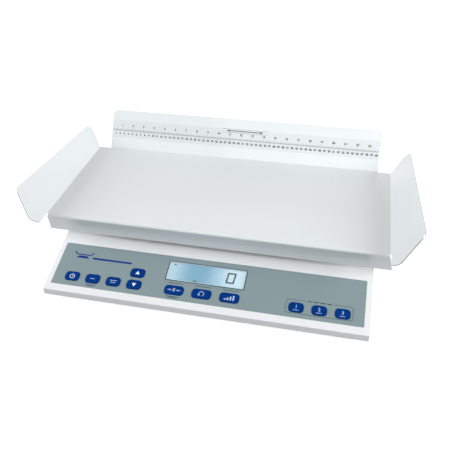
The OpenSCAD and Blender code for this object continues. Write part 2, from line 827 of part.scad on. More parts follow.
module battery_door() color("whitesmoke") frame() {
    w = bay_w - 2 * door_gap;
    front = bay_y - bay_d / 2 + door_gap;
    difference() {
        union() {
            translate([bay_x - w / 2, front, base_z]) cube([w, hinge_y - front, door_t]);
            translate([bay_x, hinge_y, hinge_z]) rotate([0, 90, 0])
                cylinder(d = door_t, h = w, center = true);
            translate([bay_x, hinge_y, hinge_z]) rotate([0, 90, 0])
                cylinder(d = hinge_d, h = w + 2 * door_gap + 2 * hinge_pin_len, center = true);
        }
        for (k = [-1:1]) translate([bay_x, front + 9 + 3 * k, base_z]) rotate([0, 90, 0])
            cylinder(d = 1.4, h = 26, center = true, $fn = 24);
    }
}

module power_inlet() color("black") frame() {
    back = base_back - cover_t;
    difference() {
        translate([jack_x, back - jack_size[1] / 2, 0]) block(jack_size, main_z + board_t);
        translate([jack_x, back + over, jack_z]) rotate([90, 0, 0]) cylinder(d = jack_bore, h = 10);
    }
    translate([jack_x, back - 1, jack_z]) rotate([90, 0, 0]) cylinder(d = 2, h = 10, $fn = 24);
}

// ---- feet ----

module foot_inserts() color("darkgoldenrod") frame() {
    difference() {
        rod(foot_places, insert_d, base_z, insert_top - base_z);
        rod(foot_places, stem_d + 2 * stem_gap, base_z - over, insert_top - base_z + 2 * over);
    }
}

module foot_pad(place) color("dimgray") frame() {
    translate([place[0], place[1], 0]) difference() {
        union() {
            cylinder(d1 = foot_d - 2, d2 = foot_d, h = 1);
            translate([0, 0, 1]) cylinder(d = foot_d, h = foot_pad_h - 3);
            translate([0, 0, foot_pad_h - 2]) cylinder(d1 = foot_d, d2 = foot_d - 6, h = 2);
        }
        translate([0, 0, 2]) cylinder(d = ball_d + 0.1, h = foot_pad_h);
    }
}

module foot_stem(place) color("silver") frame() {
    wheel_z = foot_pad_h + 0.4;
    translate([place[0], place[1], 0]) {
        translate([0, 0, 2.4]) cylinder(d = ball_d, h = wheel_z - 2.4 + eps);
        difference() {
            translate([0, 0, wheel_z]) cylinder(d = wheel_d, h = wheel_h);
            for (k = [0:11]) rotate([0, 0, 30 * k]) translate([wheel_d / 2 + 0.6, 0, wheel_z - over])
                cylinder(d = 3, h = wheel_h + 2 * over, $fn = 24);
        }
        translate([0, 0, wheel_z + wheel_h - eps])
            cylinder(d = stem_d, h = stem_top - wheel_z - wheel_h + eps);
    }
}

tray_pan();
measuring_strip();
tray_pins();
tray_pads();
platform();
cell_spacer_upper();
platform_screws();
load_cell();
cell_spacer_lower();
cell_screws();
overload_stop();
chassis();
base_cover();
base_pan();
cover_screws();
control_overlay();
display_window();
display_glass();
display_frame();
backlight();
keypad_board();
keypad_screws();
key_switches();
flex_tail();
main_board();
board_parts();
board_screws();
cell_cable();
battery_leads();
battery_box();
batteries();
battery_contacts();
battery_door();
power_inlet();
foot_inserts();
for (k = key_places) {
    button_node(k[0]);
}
foot_pad(foot_places[0]);  // foot_pad_fl
foot_pad(foot_places[1]);  // foot_pad_fr
foot_pad(foot_places[2]);  // foot_pad_rl
foot_pad(foot_places[3]);  // foot_pad_rr
foot_stem(foot_places[0]);  // foot_stem_fl
foot_stem(foot_places[1]);  // foot_stem_fr
foot_stem(foot_places[2]);  // foot_stem_rl
foot_stem(foot_places[3]);  // foot_stem_rr
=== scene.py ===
import json
import math

import bmesh
import bpy
from mathutils import Matrix, Vector


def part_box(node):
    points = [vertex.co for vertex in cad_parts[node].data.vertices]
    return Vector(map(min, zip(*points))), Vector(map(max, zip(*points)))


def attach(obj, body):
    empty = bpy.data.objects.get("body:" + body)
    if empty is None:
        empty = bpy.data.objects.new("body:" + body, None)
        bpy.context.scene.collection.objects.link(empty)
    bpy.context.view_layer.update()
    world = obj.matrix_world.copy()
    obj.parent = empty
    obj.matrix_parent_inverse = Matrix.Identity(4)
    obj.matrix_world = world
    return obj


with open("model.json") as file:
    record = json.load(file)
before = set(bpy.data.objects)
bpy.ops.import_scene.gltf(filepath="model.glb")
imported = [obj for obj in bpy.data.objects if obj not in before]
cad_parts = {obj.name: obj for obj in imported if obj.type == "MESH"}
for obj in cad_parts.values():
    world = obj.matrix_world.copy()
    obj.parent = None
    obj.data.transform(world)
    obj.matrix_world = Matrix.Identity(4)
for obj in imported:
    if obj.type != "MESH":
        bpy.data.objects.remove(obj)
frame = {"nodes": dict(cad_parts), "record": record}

scene = bpy.context.scene
nodes = frame["nodes"]
mm = 0.001
inch = 25.4
centimetre = 10
white = (1, 1, 1, 1)
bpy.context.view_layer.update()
print("frame loaded,", len(nodes), "nodes")


# colours are written as 8-bit screen values and turned into light values
def colour(red, green, blue):
    def light(value):
        share = value / 255
        return share / 12.92 if share <= 0.04045 else ((share + 0.055) / 1.055) ** 2.4
    return (light(red), light(green), light(blue), 1.0)


# camera

view = {
    "place": (0.2327, -0.9128, 0.7831),
    "turn": 13.99,
    "down": 37.31,
    "roll": -1.97,
    "lens": 45.65,
    "sensor": 36.0,
    "nearest": 0.05,
    "farthest": 50,
}


def makeCamera(spec):
    turn, down, roll = (math.radians(spec[key]) for key in ("turn", "down", "roll"))
    ahead = Vector((-math.sin(turn) * math.cos(down), math.cos(turn) * math.cos(down),
                    -math.sin(down)))
    level = Vector((math.cos(turn), math.sin(turn), 0))
    upright = level.cross(ahead)
    right = math.cos(roll) * level + math.sin(roll) * upright
    up = -math.sin(roll) * level + math.cos(roll) * upright
    data = bpy.data.cameras.new("camera")
    data.lens = spec["lens"]
    data.sensor_width = spec["sensor"]
    data.clip_start = spec["nearest"]
    data.clip_end = spec["farthest"]
    camera = bpy.data.objects.new("camera", data)
    turned = Matrix((right, up, -ahead)).transposed()
    camera.matrix_world = Matrix.Translation(spec["place"]) @ turned.to_4x4()
    scene.collection.objects.link(camera)
    scene.camera = camera


makeCamera(view)
print("camera placed")

# helpers that add nodes to a material or a node group

# a mix node's colour sockets go by number, because its other kinds share their names
mixSockets = {"amount": 0, "first": 6, "second": 7, "result": 2}


# sets a socket to a plain value, or links another socket to it
def feed(tree, socket, value):
    if isinstance(value, bpy.types.NodeSocket):
        tree.links.new(value, socket)
    else:
        socket.default_value = value


def addMath(tree, operation, *values):
    node = tree.nodes.new("ShaderNodeMath")
    node.operation = operation
    for socket, value in zip(node.inputs, values):
        feed(tree, socket, value)
    return node.outputs[0]


def addNoise(tree, vector, scale, detail):
    noise = tree.nodes.new("ShaderNodeTexNoise")
    feed(tree, noise.inputs["Vector"], vector)
    feed(tree, noise.inputs["Scale"], scale)
    feed(tree, noise.inputs["Detail"], detail)
    return noise.outputs["Fac"]


def addMix(tree, amount, first, second):
    mix = tree.nodes.new("ShaderNodeMix")
    mix.data_type = "RGBA"
    feed(tree, mix.inputs[mixSockets["amount"]], amount)
    feed(tree, mix.inputs[mixSockets["first"]], first)
    feed(tree, mix.inputs[mixSockets["second"]], second)
    return mix.outputs[mixSockets["result"]]


def addGroup(tree, group):
    node = tree.nodes.new("ShaderNodeGroup")
    node.node_tree = group
    return node


def newGroup(name, inputs, outputs):
    group = bpy.data.node_groups.new(name, "ShaderNodeTree")
    for label, kind, value in inputs:
        socket = group.interface.new_socket(name=label, in_out="INPUT", socket_type=kind)
        socket.default_value = value
    for label, kind in outputs:
        group.interface.new_socket(name=label, in_out="OUTPUT", socket_type=kind)
    return group


def newMaterial(name):
    material = bpy.data.materials.new(name)
    material.use_nodes = True
    return material, material.node_tree, material.node_tree.nodes["Principled BSDF"]


# node groups shared by the materials

grainInputs = [
    ("Base", "NodeSocketColor", (0.8, 0.8, 0.8, 1)),
    ("Tint", "NodeSocketColor", (0.7, 0.7, 0.7, 1)),
    ("Tint Amount", "NodeSocketFloat", 0.3),
    ("Cloud Scale", "NodeSocketFloat", 12),
    ("Grain Scale", "NodeSocketFloat", 900),
    ("Rough", "NodeSocketFloat", 0.4),
    ("Rough Spread", "NodeSocketFloat", 0.1),
    ("Stretch", "NodeSocketVector", (1, 1, 1)),
]
grainOutputs = [
    ("Color", "NodeSocketColor"),
    ("Roughness", "NodeSocketFloat"),
    ("Height", "NodeSocketFloat"),
]
# two noises near a half multiply to about a quarter, so the tint's gain is four
grainDetail = {"clouds": 3, "grain": 2, "tintGain": 4, "middle": 0.5}


# soft colour clouds, a fine grain for the bump, and a roughness that follows the clouds
def makeGrainGroup(spec):
    group = newGroup("surfaceGrain", grainInputs, grainOutputs)
    given = group.nodes.new("NodeGroupInput").outputs
    result = group.nodes.new("NodeGroupOutput").inputs
    place = group.nodes.new("ShaderNodeTexCoord")
    stretched = group.nodes.new("ShaderNodeVectorMath")
    stretched.operation = "MULTIPLY"
    feed(group, stretched.inputs[0], place.outputs["Object"])
    feed(group, stretched.inputs[1], given["Stretch"])
    clouds = addNoise(group, stretched.outputs[0], given["Cloud Scale"], spec["clouds"])
    grain = addNoise(group, stretched.outputs[0], given["Grain Scale"], spec["grain"])
    both = addMath(group, "MULTIPLY", clouds, grain)
    amount = addMath(group, "MULTIPLY", both, given["Tint Amount"])
    gained = addMath(group, "MULTIPLY", amount, spec["tintGain"])
    centred = addMath(group, "SUBTRACT", clouds, spec["middle"])
    spread = addMath(group, "MULTIPLY", centred, given["Rough Spread"])
    feed(group, result["Color"], addMix(group, gained, given["Base"], given["Tint"]))
    feed(group, result["Roughness"], addMath(group, "ADD", spread, given["Rough"]))
    feed(group, result["Height"], grain)
    return group


# how far a face has to look along the tray, out past a wing or up to be a cut edge that gets
# painted shade
edgeLimits = {"turned": 0.1, "ahead": 0.3, "outward": 0.3, "lowest": -0.4,
              "floorHeight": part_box("tray_pins")[1][2]}


# marks the cut edges of the folded tray above its floor, for painted shade: those across a
# wing's ends, which look along the tray, and those on its outer side, which look out past it
def makeCutEdgeGroup(spec):
    group = newGroup("edgeShade", [], [("Mask", "NodeSocketFloat")])
    result = group.nodes.new("NodeGroupOutput").inputs
    geometry = group.nodes.new("ShaderNodeNewGeometry")
    facing = group.nodes.new("ShaderNodeSeparateXYZ")
    place = group.nodes.new("ShaderNodeSeparateXYZ")
    feed(group, facing.inputs[0], geometry.outputs["True Normal"])
    feed(group, place.inputs[0], geometry.outputs["Position"])
    facing, place = facing.outputs, place.outputs
    turned = addMath(group, "GREATER_THAN", addMath(group, "ABSOLUTE", facing["X"]),
                     spec["turned"])
    ahead = addMath(group, "GREATER_THAN", addMath(group, "ABSOLUTE", facing["Y"]),
                    spec["ahead"])
    outward = addMath(group, "MULTIPLY", addMath(group, "SIGN", place["X"]), facing["X"])
    past = addMath(group, "GREATER_THAN", outward, spec["outward"])
    level = addMath(group, "GREATER_THAN", facing["Z"], spec["lowest"])
    above = addMath(group, "GREATER_THAN", place["Z"], spec["floorHeight"])
    endEdge = addMath(group, "MULTIPLY", turned, ahead)
    outerEdge = addMath(group, "MULTIPLY", past, level)
    either = addMath(group, "MAXIMUM", endEdge, outerEdge)
    feed(group, result["Mask"], addMath(group, "MULTIPLY", either, above))
    return group


grainGroup = makeGrainGroup(grainDetail)
edgeShadeGroup = makeCutEdgeGroup(edgeLimits)

# what a finish has where its own dictionary says nothing
plainLook = {"tintAmount": 0.3, "clouds": 12, "grain": 900, "spread": 0.08, "stretch": (1, 1, 1),
             "bump": 0.1, "depth": 0.05, "metal": 0, "specular": 0.5, "coat": 0, "coatRough": 0.1}
grainSockets = {"Base": "base", "Tint": "tint", "Tint Amount": "tintAmount",
                "Cloud Scale": "clouds", "Grain Scale": "grain", "Rough": "rough",
                "Rough Spread": "spread", "Stretch": "stretch"}
shaderSockets = {"Metallic": "metal", "Specular IOR Level": "specular", "Coat Weight": "coat",
                 "Coat Roughness": "coatRough"}


def grainMaterial(name, finish):
    look = {**plainLook, **finish}
    material, tree, shader = newMaterial(name)
    grain = addGroup(tree, grainGroup)
    for socket, key in grainSockets.items():
        grain.inputs[socket].default_value = look[key]
    for socket, key in shaderSockets.items():
        shader.inputs[socket].default_value = look[key]
    bump = tree.nodes.new("ShaderNodeBump")
    bump.inputs["Strength"].default_value = look["bump"]
    bump.inputs["Distance"].default_value = look["depth"] * mm
    shade = grain.outputs["Color"]
    # painted shade: the cut edges are mixed towards the darker edge colour
    if "edgeShade" in look:
        edges = addGroup(tree, edgeShadeGroup)
        shade = addMix(tree, edges.outputs["Mask"], shade, look["edgeShade"])
    feed(tree, shader.inputs["Base Color"], shade)
    feed(tree, shader.inputs["Roughness"], grain.outputs["Roughness"])
    feed(tree, bump.inputs["Height"], grain.outputs["Height"])
    feed(tree, shader.inputs["Normal"], bump.outputs["Normal"])
    return material


# finishes, one for each material slot of the record, but for the display and its window

finishes = {
    # the darker edge colour of the tray enamel is painted shade on its cut edges
    "tray_enamel": {"base": colour(232, 236, 237), "tint": colour(222, 229, 231),
                    "rough": 0.34, "grain": 1400, "bump": 0.1, "coat": 0.7,
                    "coatRough": 0.06, "clouds": 5, "edgeShade": colour(138, 142, 144)},
    "strip_print": {"base": colour(222, 227, 229), "tint": colour(216, 221, 223),
                    "rough": 0.3, "clouds": 8, "coat": 0.6},
    "zinc_steel": {"base": colour(190, 192, 196), "tint": colour(150, 152, 150),
                   "rough": 0.34, "metal": 1},
    "grey_rubber": {"base": colour(52, 53, 56), "tint": colour(78, 78, 80),
                    "rough": 0.78, "bump": 0.4},
    "cast_alloy": {"base": colour(198, 200, 203), "tint": colour(168, 170, 174),
                   "rough": 0.5, "metal": 0.7, "grain": 700, "bump": 0.5, "depth": 0.15},
    "bright_steel": {"base": colour(205, 206, 210), "tint": colour(160, 161, 165),
                     "rough": 0.26, "metal": 1, "stretch": (1, 1, 12)},
    "cell_alloy": {"base": colour(208, 210, 213), "tint": colour(180, 182, 186),
                   "rough": 0.32, "metal": 1, "stretch": (0.08, 1, 1), "grain": 1600,
                   "bump": 0.3},
    "chassis_paint": {"base": colour(140, 144, 150), "tint": colour(112, 116, 122),
                      "rough": 0.5},
    "housing_white": {"base": colour(238, 240, 242), "tint": colour(230, 232, 235),
                      "rough": 0.42, "grain": 1800, "bump": 0.16, "clouds": 7},
    "pan_white": {"base": colour(228, 231, 232), "tint": colour(214, 218, 220),
                  "rough": 0.55, "grain": 1300, "bump": 0.35},
    "overlay_grey": {"base": colour(136, 153, 158), "tint": colour(132, 150, 150),
                     "rough": 0.5, "grain": 2600, "bump": 0.14, "clouds": 6,
                     "specular": 0.25},
    "frame_dark": {"base": colour(44, 46, 50), "tint": colour(66, 68, 72), "rough": 0.5},
    "diffuser": {"base": colour(240, 243, 245), "tint": colour(222, 228, 232), "rough": 0.6},
    "board_green": {"base": colour(24, 104, 62), "tint": colour(16, 78, 46),
                    "rough": 0.38, "grain": 500},
    "component_dark": {"base": colour(40, 41, 44), "tint": colour(64, 65, 68), "rough": 0.46},
    "flex_amber": {"base": colour(168, 104, 44), "tint": colour(132, 78, 30), "rough": 0.28},
    "cable_grey": {"base": colour(150, 152, 155), "tint": colour(122, 124, 128), "rough": 0.5},
    "lead_red": {"base": colour(176, 34, 32), "tint": colour(132, 22, 22), "rough": 0.4},
    "cell_wrap": {"base": colour(196, 158, 66), "tint": colour(160, 122, 44), "rough": 0.3},
    "contact_nickel": {"base": colour(214, 212, 204), "tint": colour(178, 176, 168),
                       "rough": 0.2, "metal": 1},
    "inlet_black": {"base": colour(30, 31, 33), "tint": colour(52, 53, 56),
                    "rough": 0.5, "bump": 0.3},
    "insert_brass": {"base": colour(206, 172, 100), "tint": colour(168, 134, 70),
                     "rough": 0.28, "metal": 1},
    "key_blue": {"base": colour(2, 58, 134), "tint": colour(1, 44, 112), "rough": 0.5,
                 "grain": 2200, "bump": 0.1, "specular": 0.04},
}

finished = {slot: grainMaterial(slot, look) for slot, look in finishes.items()}

displayLook = {
    "middle": colour(106, 162, 190),
    # painted highlight: the pale colour of the display's two ends
    "ends": colour(206, 230, 240),
    "glow": 0.16,
    "middleAt": -0.22,
    "middleShare": 0.12,
    "rough": 0.35,
    "clouds": 40,
    "cloudDetail": 2,
    "wobble": 0.08,
}


# the lit display is darkest a little left of its middle and brighter towards its two ends, which
# are painted highlights that also go into its glow
def displayMaterial(look):
    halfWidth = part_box("display_glass")[1][0]
    material, tree, shader = newMaterial("display_blue")
    place = tree.nodes.new("ShaderNodeTexCoord").outputs["Object"]
    across = tree.nodes.new("ShaderNodeSeparateXYZ")
    feed(tree, across.inputs[0], place)
    share = addMath(tree, "DIVIDE", across.outputs["X"], halfWidth)
    away = addMath(tree, "ABSOLUTE", addMath(tree, "SUBTRACT", share, look["middleAt"]))
    cloud = addNoise(tree, place, look["clouds"], look["cloudDetail"])
    wobble = addMath(tree, "MULTIPLY", cloud, look["wobble"])
    ramp = tree.nodes.new("ShaderNodeValToRGB")
    ramp.color_ramp.interpolation = "EASE"
    middle, ends = ramp.color_ramp.elements
    middle.position = look["middleShare"]
    middle.color = look["middle"]
    ends.color = look["ends"]
    feed(tree, ramp.inputs[0], addMath(tree, "ADD", away, wobble))
    feed(tree, shader.inputs["Base Color"], ramp.outputs["Color"])
    feed(tree, shader.inputs["Emission Color"], ramp.outputs["Color"])
    shader.inputs["Emission Strength"].default_value = look["glow"]
    shader.inputs["Roughness"].default_value = look["rough"]
    return material


windowLook = {
    "tint": colour(206, 226, 234),
    "smudge": colour(196, 218, 226),
    "rough": 0.06,
    "clear": 0.1,
}


def windowMaterial(look):
    material, tree, shader = newMaterial("window_clear")
    grain = addGroup(tree, grainGroup)
    grain.inputs["Base"].default_value = look["tint"]
    grain.inputs["Tint"].default_value = look["smudge"]
    grain.inputs["Rough"].default_value = look["rough"]
    grain.inputs["Rough Spread"].default_value = look["rough"]
    feed(tree, shader.inputs["Base Color"], grain.outputs["Color"])
    feed(tree, shader.inputs["Roughness"], grain.outputs["Roughness"])
    shader.inputs["Alpha"].default_value = look["clear"]
    return material


finished["display_blue"] = displayMaterial(displayLook)
finished["window_clear"] = windowMaterial(windowLook)


def dressNodes():
    for part in frame["record"]["subparts"]:
        mesh = nodes[part["node"]].data
        mesh.materials.clear()
        mesh.materials.append(finished[part["material_slot"]])


dressNodes()
print("finishes on", len(finished), "slots")

# prints and legends are thin closed solids that lie on a flat face of a node

consoleFront = (0, -0.3, 1)
panelFront = (0, -1, 0.6)
facePick = {"leastFacing": 0.8, "digits": 2}


# at the middle of the largest flat face that looks towards a direction: a matrix
# with x across that face, y up it and z out of it
def facePlane(node, toward):
    mesh = nodes[node].data
    toward = Vector(toward).normalized()
    groups = {}
    for face in mesh.polygons:
        if face.normal.dot(toward) > facePick["leastFacing"]:
            key = tuple(round(value, facePick["digits"]) for value in face.normal)
            groups.setdefault(key, []).append(face)
    faces = max(groups.values(), key=lambda group: sum(face.area for face in group))
    outward = max(faces, key=lambda face: face.area).normal.copy()
    across = Vector((1, 0, 0))
    up = outward.cross(across).normalized()
    corners = [mesh.vertices[index].co for face in faces for index in face.vertices]
    top = max(corner.dot(outward) for corner in corners)

    def middle(axis):
        along = [corner.dot(axis) for corner in corners]
        return (min(along) + max(along)) / 2

    turned = Matrix((across, up, outward)).transposed().to_4x4()
    place = across * middle(across) + up * middle(up) + outward * top
    return Matrix.Translation(place) @ turned


# points of a rectangle with rounded corners, round from the lower right one
def cornerPoints(left, right, low, high, radius, steps=6):
    points = []
    for x, y, start in ((right - radius, low + radius, -90), (right - radius, high - radius, 0),
                        (left + radius, high - radius, 90), (left + radius, low + radius, 180)):
        for k in range(steps + 1):
            turn = math.radians(start + 90 * k / steps)
            points.append((x + radius * math.cos(turn), y + radius * math.sin(turn)))
    return points


# one print, drawn in millimetres on its plane and then placed on a body
class Print:
    gap = 0.012 * mm
    thick = 0.05 * mm
    weld = 1e-7
    fontShare = 1.35
    fontSteps = 3

    def __init__(self):
        self.mesh = bmesh.new()

    def solid(self, points):
        low, high = ([self.mesh.verts.new((x * mm, y * mm, height)) for x, y in points]
                     for height in (self.gap, self.gap + self.thick))
        self.mesh.faces.new(list(reversed(low)))
        self.mesh.faces.new(high)
        for k in range(len(points)):
            after = (k + 1) % len(points)
            self.mesh.faces.new((low[k], low[after], high[after], high[k]))

    def bar(self, x, y, width, height):
        half, tall = width / 2, height / 2
        self.solid([(x - half, y - tall), (x + half, y - tall),
                    (x + half, y + tall), (x - half, y + tall)])

    # ribbon of even width along the points, which closes on itself if closed is set
    def ribbon(self, points, width, closed=False):
        count = len(points)
        rings = []
        for k, here in enumerate(points):
            before = points[k - 1] if closed or k > 0 else here
            after = points[(k + 1) % count] if closed or k < count - 1 else here
            along = Vector((after[0] - before[0], after[1] - before[1])).normalized()
            square = Vector((-along[1], along[0])) * width / 2
            spot = Vector(here)
            rings.append([self.mesh.verts.new((side[0] * mm, side[1] * mm, height))
                          for height in (self.gap, self.gap + self.thick)
                          for side in (spot - square, spot + square)])
        for k in range(count if closed else count - 1):
            a, b = rings[k], rings[(k + 1) % count]
            self.mesh.faces.new((a[0], a[1], b[1], b[0]))
            self.mesh.faces.new((a[2], b[2], b[3], a[3]))
            self.mesh.faces.new((a[0], b[0], b[2], a[2]))
            self.mesh.faces.new((a[1], a[3], b[3], b[1]))
        if not closed:
            first, last = rings[0], rings[-1]
            self.mesh.faces.new((first[0], first[2], first[3], first[1]))
            self.mesh.faces.new((last[0], last[1], last[3], last[2]))

    def arc(self, x, y, radius, start, end, width, steps=28):
        turns = [math.radians(start + (end - start) * k / steps) for k in range(steps + 1)]
        self.ribbon([(x + radius * math.cos(t), y + radius * math.sin(t)) for t in turns], width)

    def number(self, value, x, y, height, bold=0.02):
        text = bpy.data.curves.new("number", "FONT")
        text.body = str(value)
        text.size = height * self.fontShare * mm
        text.align_x = "CENTER"
        text.align_y = "CENTER"
        text.resolution_u = self.fontSteps
        text.extrude = self.thick / 2
        text.offset = height * bold * mm
        lettering = bpy.data.objects.new("number", text)
        scene.collection.objects.link(lettering)
        bpy.context.view_layer.update()
        shaped = lettering.evaluated_get(bpy.context.evaluated_depsgraph_get())
        mesh = bpy.data.meshes.new_from_object(shaped)
        mesh.transform(Matrix.Translation((x * mm, y * mm, self.gap + self.thick / 2)))
        self.mesh.from_mesh(mesh)
        bpy.data.objects.remove(lettering)
        bpy.data.meshes.remove(mesh)

    def place(self, name, plane, material, body):
        bmesh.ops.remove_doubles(self.mesh, verts=self.mesh.verts, dist=self.weld)
        bmesh.ops.recalc_face_normals(self.mesh, faces=self.mesh.faces)
        mesh = bpy.data.meshes.new(name)
        self.mesh.to_mesh(mesh)
        self.mesh.free()
        mesh.transform(plane)
        mesh.materials.append(material)
        piece = bpy.data.objects.new(name, mesh)
        scene.collection.objects.link(piece)
        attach(piece, body)


inks = {
    "dark_ink": {"base": colour(20, 24, 30), "tint": colour(34, 38, 46),
                 "rough": 0.55, "specular": 0.1},
    "line_ink": {"base": colour(44, 62, 84), "tint": colour(56, 74, 96),
                 "rough": 0.55, "specular": 0.1},
    "blue_ink": {"base": colour(6, 50, 130), "tint": colour(10, 58, 142),
                 "rough": 0.5, "specular": 0.1},
    "white_ink": {"base": colour(240, 245, 252), "tint": colour(224, 234, 246), "rough": 0.5},
    "pale_ink": {"base": colour(186, 206, 234), "tint": colour(170, 192, 224), "rough": 0.5},
    "segment_ink": {"base": colour(8, 14, 30), "tint": colour(16, 24, 44),
                    "rough": 0.5, "specular": 0.05},
    "border_ink": {"base": colour(18, 46, 46), "tint": colour(26, 58, 58),
                   "rough": 0.5, "specular": 0.1},
    # painted highlight: the lighter rim inside the window's dark line
    "rim_highlight": {"base": colour(194, 220, 232), "tint": colour(180, 208, 222),
                "rough": 0.45, "specular": 0.2},
}

inked = {name: grainMaterial(name, look) for name, look in inks.items()}

# ruler on the rear panel: inches above its middle line, centimetres below

ruler = {
    "lineUp": -2.5,
    "line": 0.3,
    "margin": 3,
    "inches": 23,
    "perInch": 8,
    "centimetres": 60,
    "inchTicks": {8: 5.6, 4: 4.2, 2: 3.0, 1: 2.0},
    "millimetreTicks": {10: 4.2, 5: 3.0, 1: 1.8},
    "inchNumber": 4.6,
    "inchNumberUp": 10.2,
    "centimetreNumber": 4.4,
    "centimetreNumberDown": 8.4,
    "bold": 0.055,
    "tick": 0.34,
    "millimetreTickShare": 0.8,
    "edge": 2,
    "box": {"from": 10.3, "to": 14.3, "low": 12.2, "high": 19.8, "line": 0.45, "arrow": 82,
            "shaft": (68.2, 1.5), "head": (6.44, 4.6)},
}


def longestTick(ticks, k):
    return next(length for every, length in sorted(ticks.items(), reverse=True)
                if k % every == 0)


# plain frame with an arrow that points both ways along the ruler
def rulerBox(ink, spec, panelLeft):
    left, right = panelLeft + spec["from"] * inch, panelLeft + spec["to"] * inch
    low, high = spec["low"], spec["high"]
    ink.ribbon([(left, low), (right, low), (right, high), (left, high)], spec["line"],
               closed=True)
    middle, height = (left + right) / 2, (low + high) / 2
    ink.bar(middle, height, *spec["shaft"])
    headLong, headWide = spec["head"]
    for side in (-1, 1):
        tip = middle + side * spec["arrow"] / 2
        base = tip - side * headLong
        ink.solid([(base, height - headWide / 2), (tip, height),
                   (base, height + headWide / 2)][::side])


def makeRuler(spec):
    lowest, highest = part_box("measuring_strip")
    panelLeft = -(highest[0] - lowest[0]) / 2 / mm - spec["edge"]
    length = -2 * panelLeft
    line = spec["lineUp"]
    margin = spec["margin"]
    perInch = spec["perInch"]
    bold = spec["bold"]
    ink = Print()
    ink.bar(0, line, length - 2 * margin, spec["line"])
    for k in range(1, int(length / inch * perInch)):
        tall = longestTick(spec["inchTicks"], k)
        ink.bar(panelLeft + k * inch / perInch, line + tall / 2, spec["tick"], tall)
    for k in range(margin, int(length) - margin):
        tall = longestTick(spec["millimetreTicks"], k)
        wide = spec["tick"] * spec["millimetreTickShare"]
        ink.bar(panelLeft + k, line - tall / 2, wide, tall)
    for k in range(1, spec["inches"] + 1):
        ink.number(k, panelLeft + k * inch, line + spec["inchNumberUp"],
                   spec["inchNumber"], bold)
    for k in range(1, spec["centimetres"] + 1):
        ink.number(k, panelLeft + k * centimetre, line - spec["centimetreNumberDown"],
                   spec["centimetreNumber"], bold)
    rulerBox(ink, spec["box"], panelLeft)
    plane = facePlane("measuring_strip", panelFront)
    ink.place("ruler_print", plane, inked["dark_ink"], "tray")


makeRuler(ruler)
print("ruler printed")

# thin lines on the console overlay, in millimetres from its middle

# frame round the three right buttons, open at its top, where four dashes stand
groupFrame = {"left": 157.5, "right": 277.5, "low": -38.5, "high": -11.5, "round": 4.5,
              "line": 0.8, "gap": 50, "dash": (9, 1.8), "dashPitch": 11.5, "dashes": 4}

# plain dashes beside the buttons: across, up and width
captions = {"high": 1.2,
            "dashes": [(-217.3, -40.4, 22), (-217.3, -42.8, 14), (-53.3, -40.4, 26),
                       (-53.3, -42.8, 18), (-53.3, -11.6, 28), (0, -11.6, 32),
                       (53.3, -11.6, 30)]}


def makeOverlayPrint(spec, dashes):
    left, right, low, high = (spec[key] for key in ("left", "right", "low", "high"))
    ring = cornerPoints(left, right, low, high, spec["round"])
    half = len(ring) // 2
    middle = (left + right) / 2
    start = (middle - spec["gap"] / 2, high)
    end = (middle + spec["gap"] / 2, high)
    ink = Print()
    ink.ribbon([start] + ring[half:] + ring[:half] + [end], spec["line"])
    for k in range(spec["dashes"]):
        aside = (k - (spec["dashes"] - 1) / 2) * spec["dashPitch"]
        ink.bar(middle + aside, high, *spec["dash"])
    for x, y, width in dashes["dashes"]:
        ink.bar(x, y, width, dashes["high"])
    plane = facePlane("control_overlay", consoleFront)
    ink.place("group_line", plane, inked["line_ink"], "base")


# sign of a tray on its base, with a plain stripe beside it
traySign = {"x": -254, "y": 24, "line": 2.4, "tray": 14, "wing": 6, "footDown": 8,
            "topDown": 3, "topShare": 0.6, "stripe": (-192, 18, 82, 4)}


def makeTraySign(spec):
    x, y, tray, wing = (spec[key] for key in ("x", "y", "tray", "wing"))
    foot, top, narrow = y - spec["footDown"], y - spec["topDown"], tray * spec["topShare"]
    ink = Print()
    ink.ribbon([(x - tray - wing, y + wing), (x - tray, y), (x + tray, y),
                (x + tray + wing, y + wing)], spec["line"])
    ink.solid([(x - tray, foot), (x + tray, foot), (x + narrow, top), (x - narrow, top)])
    ink.bar(*spec["stripe"])
    plane = facePlane("control_overlay", consoleFront)
    ink.place("tray_sign", plane, inked["blue_ink"], "base")


windowBorder = {"line": 1.5, "rim": 1.1, "round": 1.6}


# dark line round the window, with a lighter rim inside it, a painted highlight
def makeWindowBorder(spec):
    lowest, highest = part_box("display_window")
    plane = facePlane("display_window", consoleFront)
    slope = plane.col[1][1]
    across = (highest[0] - lowest[0]) / 2 / mm
    tall = (highest[1] - lowest[1]) / slope / 2 / mm
    inset = 0
    for part, ink in (("line", "border_ink"), ("rim", "rim_highlight")):
        wide = spec[part]
        inset += wide / 2
        ring = cornerPoints(inset - across, across - inset, inset - tall, tall - inset,
                            spec["round"])
        border = Print()
        border.ribbon(ring, wide, closed=True)
        border.place("window_" + part, plane, inked[ink], "base")
        inset += wide / 2


makeOverlayPrint(groupFrame, captions)
makeTraySign(traySign)
makeWindowBorder(windowBorder)

# display digit, as six bars with mitred ends and small gaps, and two small marks

digit = {"x": 47.7, "y": 1.3, "wide": 13.6, "tall": 20.4, "bar": 3.2, "gap": 0.2, "lean": 0.08,
         "marks": [(-19.5, -15, 7.5, 2.4), (-65, 15, 5.5, 2.0)]}


